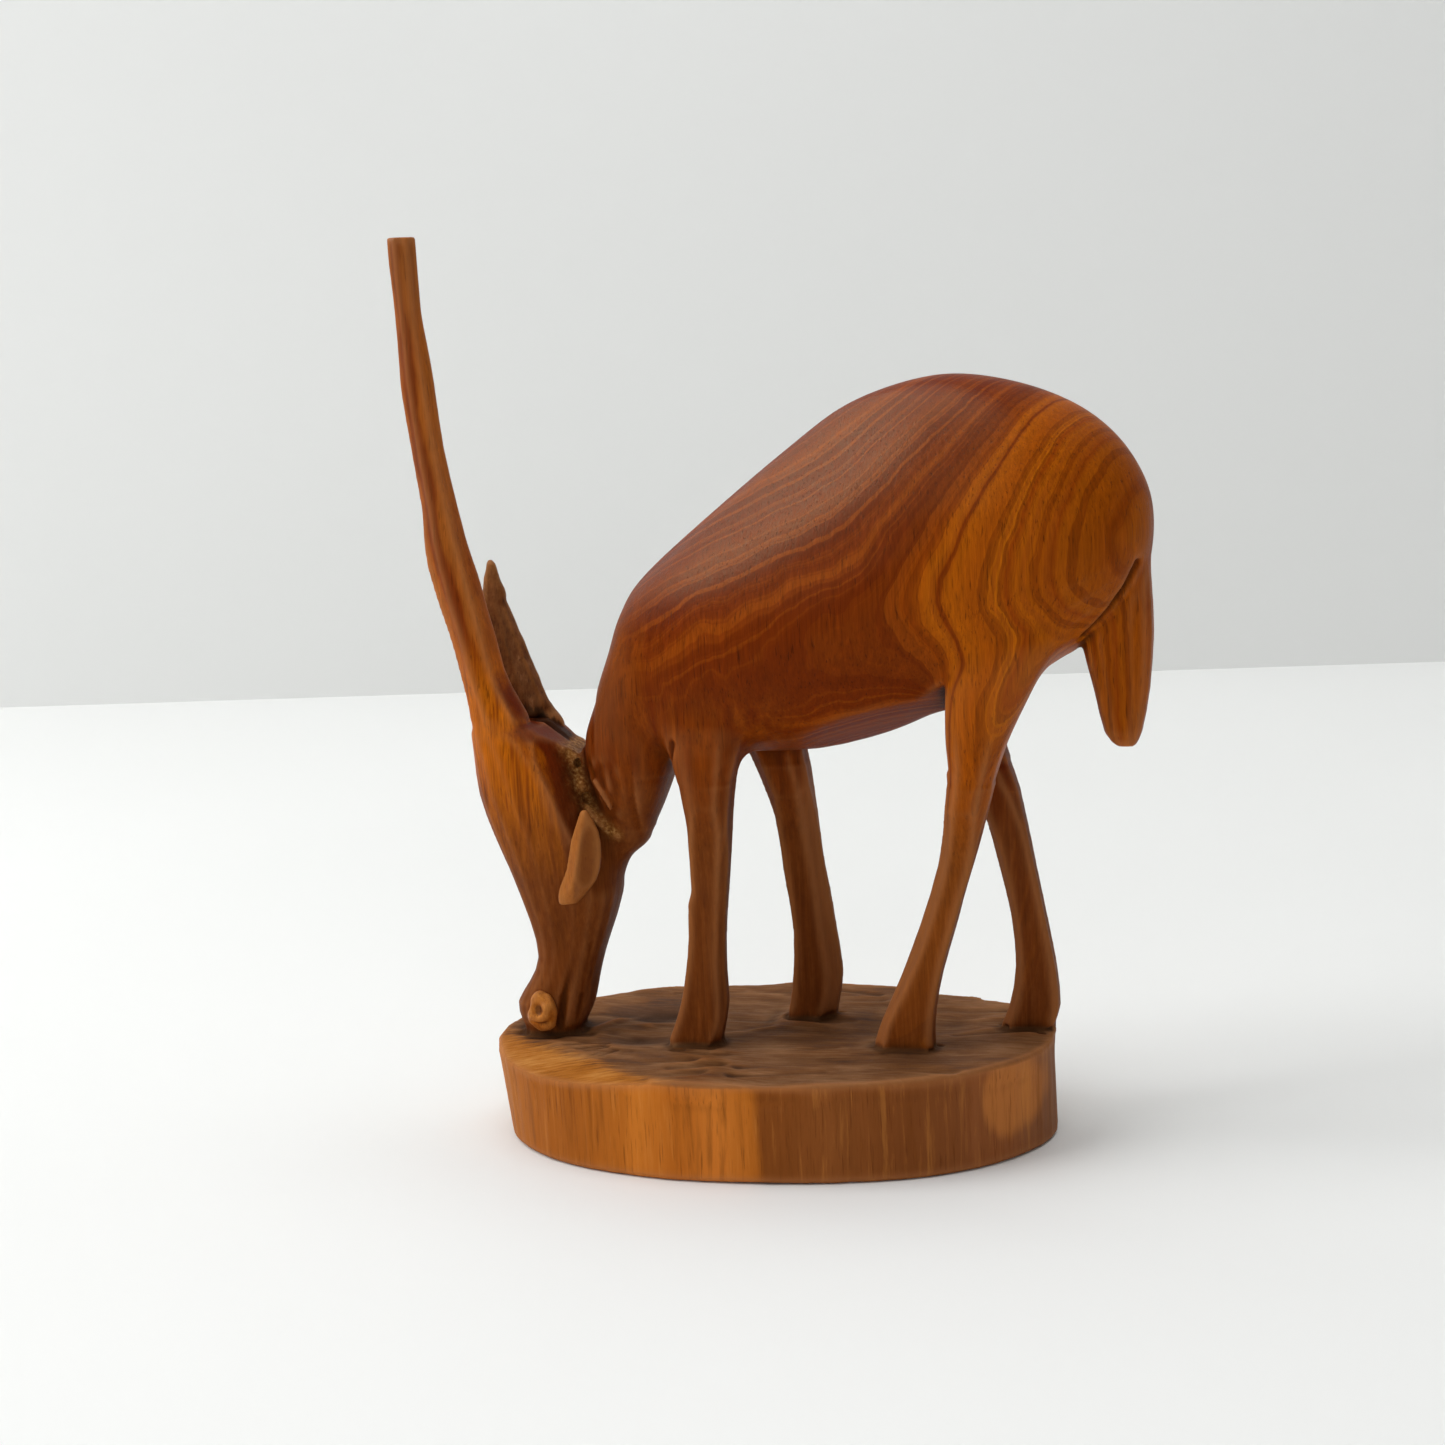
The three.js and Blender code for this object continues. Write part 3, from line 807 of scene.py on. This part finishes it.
def block_wood(name):
    """The upright-grained block: red heart, orange sapwood, dusty feet, chiselled ground."""
    n = Nodes(name)
    lean_x = n.math("MULTIPLY_ADD", n.z, -0.09, 14.6 + 0.09 * 90)
    lean_y = n.math("MULTIPLY_ADD", n.z, -0.21, 18.1 + 0.21 * 90)
    offset = n.math("SUBTRACT", n.x, lean_x)
    offset = n.math("MULTIPLY_ADD", n.math("MINIMUM", offset, 0.0), -0.55, offset)
    across = n.math("POWER", n.math("ABSOLUTE", offset), 2.0)
    through = n.math("POWER", n.math("SUBTRACT", n.y, lean_y), 2.0)
    drift = n.noise((0.06, 0.06, 0.05), 1.0)
    ripple = n.noise((0.20, 0.20, 0.16), 2.0)
    ring = n.math("SQRT", n.math("ADD", across, through))
    ring = n.math("ADD", ring, n.span(drift, 0, 1, -0.6, 0.6, soft=False))
    ring = n.math("ADD", ring, n.span(ripple, 0, 1, -0.45, 0.45, soft=False))
    ring = n.math("SUBTRACT", ring, n.span(n.z, 88, 77, 0.0, 0.8))
    fibre = n.noise((1.7, 1.7, 0.07), 4.0, 0.65)
    hair = n.noise((5.0, 5.0, 0.22), 3.0, 0.6)
    pores = n.span(n.noise((4.2, 4.2, 0.16), 2.0, 0.5), 0.60, 0.72)
    colour = n.ramp(ring, RING_COLOURS)
    growth = n.noise_along(ring, 1.15, 3.0)
    colour = n.mix(n.span(growth, 0.54, 0.64, 0.0, 0.55), colour, tone(134, 62, 8))
    colour = n.mix(n.span(growth, 0.46, 0.38, 0.0, 0.45), colour, tone(84, 26, 2))

    left = n.math("MULTIPLY", n.span(n.x, -8.0, -20.0), n.span(n.z, 92, 78))
    brown = n.ramp(n.noise((0.55, 0.55, 0.02), 3.0), [
        (0.30, tone(86, 30, 3)), (0.50, tone(103, 43, 5)), (0.70, tone(118, 54, 8))])
    low = n.math("MULTIPLY", n.span(n.x, 12.0, 5.0), n.span(n.z, 76.0, 66.0))
    colour = n.mix(n.math("MULTIPLY", n.math("MAXIMUM", left, low), 0.85), colour, brown)
    cheek = n.span(n.x, -25.5, -28.5)
    colour = n.mix(n.math("MULTIPLY", cheek, n.span(n.z, 38, 46)), colour, tone(92, 32, 7))
    streak = n.noise((0.9, 0.5, 0.03), 3.0, 0.6)
    pale = n.ramp(streak, [
        (0.28, tone(104, 44, 4)), (0.42, tone(142, 68, 6)), (0.56, tone(166, 86, 8)),
        (0.72, tone(118, 52, 5))])
    colour = n.mix(n.mask("pale"), colour, pale)

    up = n.span(n.z, 66.0, 142.0, soft=False)
    bow = n.math("MULTIPLY_ADD", n.math("MULTIPLY_ADD", up, 11.5, -22.9), up, -39.9)
    beside = n.math("SUBTRACT", n.x, bow)
    wander = n.math("ADD", beside, n.span(n.noise((0.25, 0.25, 0.09), 2.0), 0, 1, -1.6, 1.6, soft=False))
    horn = n.ramp(wander, [
        (-3.4, tone(150, 84, 34)), (-1.9, tone(136, 68, 20)), (-1.2, tone(102, 38, 5)),
        (0.1, tone(108, 42, 6)), (0.8, tone(142, 74, 22)), (2.2, tone(150, 82, 28)),
        (3.4, tone(128, 62, 22))])
    on_horn = n.math("MULTIPLY", n.span(n.z, 70, 84), n.span(n.x, -36, -38.5))
    colour = n.mix(on_horn, colour, horn)

    shade = n.math("ADD", n.span(fibre, 0.25, 0.75, 0.72, 1.20, soft=False),
                   n.span(hair, 0.3, 0.7, -0.14, 0.14, soft=False))
    shade = n.math("MULTIPLY", shade, n.span(pores, 0, 1, 1.0, 0.55))
    colour = n.mix(1.0, colour, n.grey(shade), "MULTIPLY")

    speckle = n.noise((1.1, 1.1, 0.6), 4.0, 0.7)
    dry = n.ramp(n.math("ADD", n.math("MULTIPLY", fibre, 0.7), n.math("MULTIPLY", speckle, 0.3)), [
        (0.30, tone(74, 36, 13)), (0.50, tone(92, 48, 18)), (0.70, tone(110, 62, 28))])
    colour = n.mix(n.math("MULTIPLY", n.mask("dust"), 0.72), colour, dry)

    bands = n.noise((0.16, 0.16, 0.02), 3.0, 0.6)
    side = n.ramp(n.math("ADD", n.x, n.span(bands, 0, 1, -5.0, 5.0, soft=False)), SIDE_COLOURS)
    beside = n.math("POWER", n.math("MULTIPLY", n.math("SUBTRACT", n.x, 40.5), 0.26), 2.0)
    above = n.math("POWER", n.math("MULTIPLY", n.math("SUBTRACT", n.z, 10.5), 0.16), 2.0)
    blob = n.math("ADD", n.math("ADD", beside, above), n.span(bands, 0, 1, -0.9, 0.9, soft=False))
    patch = n.math("MULTIPLY", n.span(blob, 1.35, 0.55), n.span(n.y, -1.0, -5.0))
    side = n.mix(n.math("MULTIPLY", patch, 0.9), side, tone(162, 98, 48))
    thread = n.noise((0.8, 0.8, 0.05), 5.0, 0.65, 0.3)
    side = n.mix(n.span(thread, 0.50, 0.70, 0.0, 0.5), side, tone(100, 52, 16))
    side = n.mix(n.span(thread, 0.47, 0.32, 0.0, 0.28), side, tone(186, 120, 56))
    side = n.mix(n.math("MULTIPLY", pores, 0.45), side, tone(84, 40, 12))
    colour = n.mix(n.mask("side"), colour, side)

    blot = n.noise((0.10, 0.22, 0.1), 3.0, 0.6)
    scratch = n.noise((0.16, 1.9, 1.0), 4.0, 0.65)
    ground = n.ramp(n.math("ADD", n.math("MULTIPLY", blot, 0.6), n.math("MULTIPLY", scratch, 0.4)), [
        (0.34, tone(74, 50, 36)), (0.46, tone(98, 62, 34)), (0.56, tone(112, 76, 48)),
        (0.68, tone(132, 94, 62))])
    # Painted shade: the ground is darker in its two hollows and in a spot under the near flank.
    for at, radii, share in (
            ((-22, 9.5), (8.5, 6), 0.6), ((-20, -6), (7, 4), 0.45), ((27, -13), (9, 3), 0.3)):
        aside = n.math("POWER", n.math("MULTIPLY", n.math("SUBTRACT", n.x, at[0]), 1 / radii[0]), 2.0)
        behind = n.math("POWER", n.math("MULTIPLY", n.math("SUBTRACT", n.y, at[1]), 1 / radii[1]), 2.0)
        hollow = n.math("ADD", n.math("ADD", aside, behind), n.span(blot, 0, 1, -0.8, 0.8, soft=False))
        ground = n.mix(n.span(hollow, 1.3, 0.2, 0.0, share), ground, tone(66, 46, 36))
    out = n.math("ADD", n.math("MULTIPLY", n.x, -0.6), n.math("MULTIPLY", n.y, -0.8))
    out = n.math("ADD", out, n.span(scratch, 0, 1, -4.0, 4.0, soft=False))
    warm = n.span(out, 27.0, 31.0)
    warm = n.math("MULTIPLY", warm, n.span(n.x, -4, -12))
    golden = n.ramp(n.math("ADD", n.math("MULTIPLY", blot, 0.5), n.math("MULTIPLY", scratch, 0.5)), [
        (0.36, tone(116, 66, 20)), (0.50, tone(146, 88, 30)), (0.64, tone(166, 112, 54))])
    ground = n.mix(warm, ground, golden)
    colour = n.mix(n.mask("ground"), colour, ground)

    crumbs = n.ramp(n.noise((1.6, 1.6, 1.6), 3.0, 0.7), [
        (0.36, tone(84, 48, 16)), (0.52, tone(128, 84, 38)), (0.66, tone(170, 128, 76))])
    colour = n.mix(n.math("MULTIPLY", n.mask("filler"), 0.85), colour, crumbs)
    # Convex edges and some leg faces painted lighter: wear, and painted highlight.
    colour = n.mix(n.math("MULTIPLY", n.mask("worn"), 0.25), colour, tone(160, 104, 62))
    # Painted shade in hollows, creases and the far horn's crack.
    colour = n.mix(n.math("MULTIPLY", n.mask("grime"), 0.7), colour, tone(26, 9, 3))

    rough = n.math("ADD", n.span(fibre, 0.2, 0.8, 0.36, 0.50), n.math("MULTIPLY", n.mask("dust"), 0.14))
    rough = n.math("ADD", rough, n.math("MULTIPLY", n.mask("ground"), 0.12), clamp=True)
    height = n.math("ADD", n.math("MULTIPLY", fibre, 0.6), n.math("MULTIPLY", hair, 0.4))
    height = n.math("ADD", height, n.math("MULTIPLY", n.mask("ground"), n.math("MULTIPLY", scratch, 1.2)))
    height = n.math("SUBTRACT", height, n.math("MULTIPLY", pores, 0.3))
    sheen = n.math("MULTIPLY_ADD", n.mask("polish"), 0.45, 0.06)
    return n.finish(colour, rough, height, 0.10, sheen)


def set_on_wood(name, stops, dark, grain):
    """Bare wood of the small set-on parts, in a few tones with specks."""
    n = Nodes(name)
    fibre = n.noise(grain, 4.0, 0.65)
    speck = n.noise((1.3, 1.3, 1.0), 4.0, 0.7)
    colour = n.ramp(n.math("ADD", n.math("MULTIPLY", fibre, 0.6), n.math("MULTIPLY", speck, 0.4)), stops)
    pores = n.span(n.noise((3.6, 3.6, 0.8), 2.0), 0.60, 0.70)
    colour = n.mix(n.math("MULTIPLY", pores, 0.6), colour, dark)
    ear = n.math("MULTIPLY", n.span(n.z, 30, 34), n.span(n.z, 62, 58))
    leaf = n.span(n.math("MULTIPLY_ADD", n.z, -0.2, n.x), -37.2, -36.2)
    colour = n.mix(n.math("MULTIPLY", ear, 0.5), colour, tone(120, 58, 10))
    colour = n.mix(n.math("MULTIPLY", n.math("MULTIPLY", ear, leaf), 0.7), colour, tone(86, 38, 8))
    # Convex edges painted lighter: wear, and painted edge highlight.
    colour = n.mix(n.math("MULTIPLY", n.mask("worn"), 0.35), colour, tone(164, 108, 58))
    # Painted shade in creases and, on the far horn, in its crack.
    colour = n.mix(n.math("MULTIPLY", n.mask("grime"), 0.75), colour, dark)
    return n.finish(colour, n.span(fibre, 0.2, 0.8, 0.42, 0.58), fibre, 0.10, 0.30)


# ---- Camera, light and ground ----
LENS, SENSOR = 72.0, 36.0  # mm
CAMERA_AT = (0.1022, -0.4326, 0.145)  # m
CAMERA_TURN = math.radians(14.0)  # towards the rump from a square side view
CAMERA_TILT = math.radians(10.11)  # looking down
CAMERA_ROLL = math.radians(2.735)  # clockwise


def make_camera():
    data = bpy.data.cameras.new("camera")
    data.lens, data.sensor_width = LENS, SENSOR
    data.clip_start, data.clip_end = 0.01, 20
    camera = link("camera", data)
    forward = Vector((
        -math.sin(CAMERA_TURN) * math.cos(CAMERA_TILT),
        math.cos(CAMERA_TURN) * math.cos(CAMERA_TILT),
        -math.sin(CAMERA_TILT),
    ))
    right = forward.cross(Vector((0, 0, 1))).normalized()
    up = right.cross(forward)
    c, s = math.cos(CAMERA_ROLL), math.sin(CAMERA_ROLL)
    right, up = c * right - s * up, s * right + c * up
    turn = Matrix((right, up, -forward)).transposed()
    camera.matrix_world = Matrix.Translation(CAMERA_AT) @ turn.to_4x4()
    bpy.context.scene.camera = camera


def make_stage():
    """A pale board under the carving that meets a pale backdrop."""
    n = Nodes("pale board")
    colour = n.ramp(n.noise((0.002, 0.002, 0.002), 2.0), [
        (0.3, (0.80, 0.81, 0.80)), (0.7, (0.86, 0.87, 0.86))])
    material = n.finish(colour, n.span(n.noise((0.01, 0.01, 0.01)), 0, 1, 0.6, 0.7), 0.0, 0.0, 0.1)
    left, right = (-2, 0.141), (2, 0.734)
    floor = [(-2, -2, 0), (2, -2, 0), (*right, 0), (*left, 0)]
    wall = [(*left, 0), (*right, 0), (*right, 2.5), (*left, 2.5)]
    for name, corners in {"floor": floor, "backdrop": wall}.items():
        board = link(name, build_mesh(name, np.array(corners) / MM, [[0, 1, 2, 3]]))
        board.data.materials.append(material)


def area_light(name, at, aim, size, power, gloss=1.0):
    data = bpy.data.lights.new(name, "AREA")
    data.shape, data.size, data.energy = "SQUARE", size, power
    data.specular_factor = gloss
    light = link(name, data)
    light.location = at
    light.rotation_euler = (Vector(aim) - Vector(at)).to_track_quat("-Z", "Y").to_euler()


def make_light():
    world = bpy.data.worlds.new("studio")
    bpy.context.scene.world = world
    world.use_nodes = True
    world.node_tree.nodes["Background"].inputs["Color"].default_value = (0.75, 0.76, 0.75, 1)
    world.node_tree.nodes["Background"].inputs["Strength"].default_value = 0.03
    area_light("softbox", (-0.75, -0.25, 0.80), (0, 0, 0.06), 0.8, 8.0)
    area_light("overhead", (0.1, 0.15, 1.2), (0, 0, 0.05), 1.2, 9.5)
    area_light("front", (0.2, -1.2, 0.5), (0, 0, 0.06), 0.8, 3.4, gloss=0.0)


bpy.context.scene.view_settings.view_transform = "Standard"
make_camera()
make_stage()
make_light()

SLOTS = {
    "torso": "body_wood", "neck": "body_wood", "head": "body_wood", "tail": "body_wood",
    "near_front_leg": "body_wood", "far_front_leg": "body_wood",
    "near_hind_leg": "body_wood", "far_hind_leg": "body_wood",
    "near_horn": "horn_wood", "plinth": "plinth_wood",
}
materials = {slot: block_wood(slot.replace("_", " ")) for slot in ("body_wood", "horn_wood", "plinth_wood")}
for name, part in members(carved_block(), block_masks).items():
    part.data.materials.clear()
    part.data.materials.append(materials[SLOTS[name]])
    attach(part, "root")
    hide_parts(name)


# ---- The small set-on parts ----

def set_on(name, material, work, soften_by, shade=lambda x, y, z: 0):
    """A part with its own fine grid: the CAD node, softened, worked on, darkened by shade."""
    low, high = mm_box(name)
    block = Block(low - 6, high + 2.5, FINE_STEP)
    cut, part, _ = block.node(name)
    block.field[cut] = blur(part, soften_by / FINE_STEP)
    work(block, low, high)
    block.field = blur(block.field, 0.15 / FINE_STEP)
    points, quads = block.skin()
    mesh = build_mesh(name, points, quads)
    set_masks(mesh, {
        # Painted shade in concave creases, plus the painted shade passed in.
        "grime": np.clip(-block.bend(points, 0.6) * 10, 0, 1) + shade(*points.T),
        # Convex edges painted lighter: wear, and painted edge highlight.
        "worn": np.clip(block.bend(points, 0.5) * 8 - 0.2, 0, 1),
    })
    mesh.shade_smooth()
    obj = link(name, mesh)
    mesh.materials.append(material)
    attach(obj, "root")
    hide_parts(name)


def work_far_horn(block, low, high):
    """A hollowed blade with rough knife facets and a ragged root sunk in the head."""
    block.add(chain([(-38.2, 4.8, 67.3), (-35.6, 4.4, 64.6), (-33.4, 3.8, 61.4)], 1.9), 1.5)
    block.add([rod((-42.6, 5.0, 85.5), (-43.9, 5.2, 90.9), (0.9, 0.12))], 0.8)
    block.swell(low - 2, high + 2, lambda x, y, z: (
        0.18 * lumps(x, y, z, (3, 3, 6), 41) + 0.08 * lumps(x, y, z, 1.2, 42)))
    block.swell(low - 2, np.array([high[0] + 2, high[1] + 2, 71]), lambda x, y, z: (
        (1 - smoothstep(66, 69, z)) * smoothstep(4.5, 3.0, y) * (0.35 * lumps(x, y, z, 1.3, 43) - 0.7)))


def far_horn_gap(x, y, z):
    """Painted shade: the ragged gap where the far horn sinks behind the lip of the head, painted dark."""
    lip = np.interp(x, [-37.6, -36.6, -35.6, -34.0, -33.0, -31.2], [67.7, 67.3, 66.3, 65.1, 64.5, 63.4])
    ragged = 0.35 * np.sin(2.9 * x) + 0.25 * np.sin(7.3 * x + 1.1) + 0.15 * np.sin(13.0 * x)
    return smoothstep(0.4, -0.1, z - lip - ragged)


def work_knob(block, low, high):
    """A blunt nostril with a round dimple, a chipped lip and knife facets."""
    middle = (low + high) / 2
    block.field -= 0.25
    for turn, tilt in ((-75, 15), (-30, -35), (10, 40), (45, -10), (80, 30), (130, 10), (-130, 5)):
        turn, tilt = math.radians(turn), math.radians(tilt)
        way = np.array([math.sin(turn) * math.cos(tilt), -math.cos(turn) * math.cos(tilt), math.sin(tilt)])
        at = middle + way * (high - low) * (0.47, 0.46, 0.45)
        block.carve([plane_cut(low - 2, high + 2, at, way)], 0.1)
    block.carve([ball((middle[0] - 0.6, low[1] - 0.35, middle[2] + 0.7), (1.2, 1.0, 1.3))], 0.3)
    block.swell(low - 2, high + 2, lambda x, y, z: (
        0.16 * lumps(x, y, z, 1.3, 51) + 0.08 * lumps(x, y, z, 0.7, 52)))
    block.carve(chain([(low[0], low[1] + 0.3, low[2] + 2.0), (middle[0], low[1] + 0.3, low[2] + 1.7),
                       (high[0], low[1] + 0.6, low[2] + 2.4)], 0.35), 0.15)


def work_ear(block, low, high):
    """A leaf with a ridge down its middle between two flat facets."""
    middle = (low + high) / 2
    at = (middle[0], low[1] + 0.35, middle[2])
    for across in ((-0.55, -0.82, 0.11), (0.40, -0.91, -0.08)):
        block.carve([plane_cut(low - 2, high + 2, at, across)], 0.1)
    block.swell(low - 2, high + 2, lambda x, y, z: 0.12 * lumps(x, y, z, (1.5, 1.5, 4), 61))


# The far horn's wood is painted darker than the near horn's: a duller inner face, and painted shade.
dull_and_shaded = set_on_wood("dull wood", [
    (0.34, tone(54, 26, 10)), (0.46, tone(88, 46, 18)), (0.58, tone(106, 62, 32)),
    (0.70, tone(134, 88, 54))], tone(30, 12, 5), (0.9, 0.9, 0.12))
light = set_on_wood("pale wood", [
    (0.34, tone(116, 58, 11)), (0.46, tone(146, 82, 22)), (0.58, tone(162, 96, 30)),
    (0.70, tone(182, 120, 54))], tone(62, 25, 6), (1.4, 1.4, 0.3))
set_on("far_horn", dull_and_shaded, work_far_horn, 0.15, far_horn_gap)
set_on("muzzle_knob", light, work_knob, 0.35)
set_on("near_ear", light, work_ear, 0.3)
